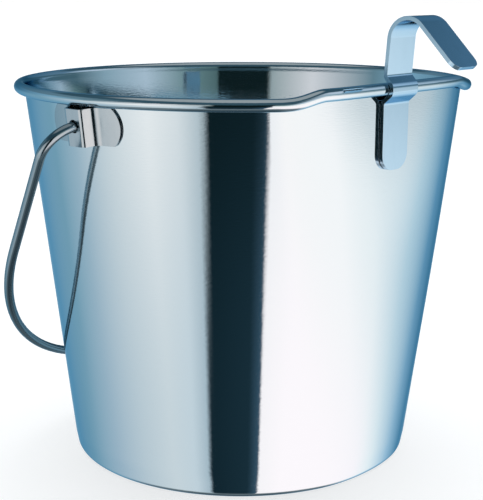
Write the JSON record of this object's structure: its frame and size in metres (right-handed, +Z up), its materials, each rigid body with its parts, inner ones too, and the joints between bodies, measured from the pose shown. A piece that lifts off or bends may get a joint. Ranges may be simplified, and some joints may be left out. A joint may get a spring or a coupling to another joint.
{
  "type": "feed bucket",
  "caption": "Flat-sided stainless steel feed pail with a rolled rim, a swinging wire bail in welded ears and a strap hook for hanging it on a rail.",
  "frame": {"origin": "centre of the base's flat underside, on the pail's axis", "axes": "+Z up out of the mouth, +Y towards the flat side and the hook, the bail pivots about a line parallel to X"},
  "size_m": [0.3404, 0.3205, 0.2931],
  "materials": {
    "polished_steel": "mirror polished, with fine circumferential lines",
    "satin_steel": "satin, bare stainless steel",
    "steel_wire": "drawn wire, semi bright",
    "hook_steel": "bright rolled strip"
  },
  "bodies": {
    "pail": {"pail_body": "polished_steel", "ear_right": "satin_steel", "ear_left": "satin_steel", "hanging_hook": "hook_steel"},
    "bail": {"bail_handle": "steel_wire"}
  },
  "joints": [
    {"name": "bail_swing", "type": "hinge", "parent": "pail", "child": "bail", "pos_m": [0, 0.009, 0.2311], "axis": [-1, 0, 0], "range_deg": [0, 296]}
  ]
}
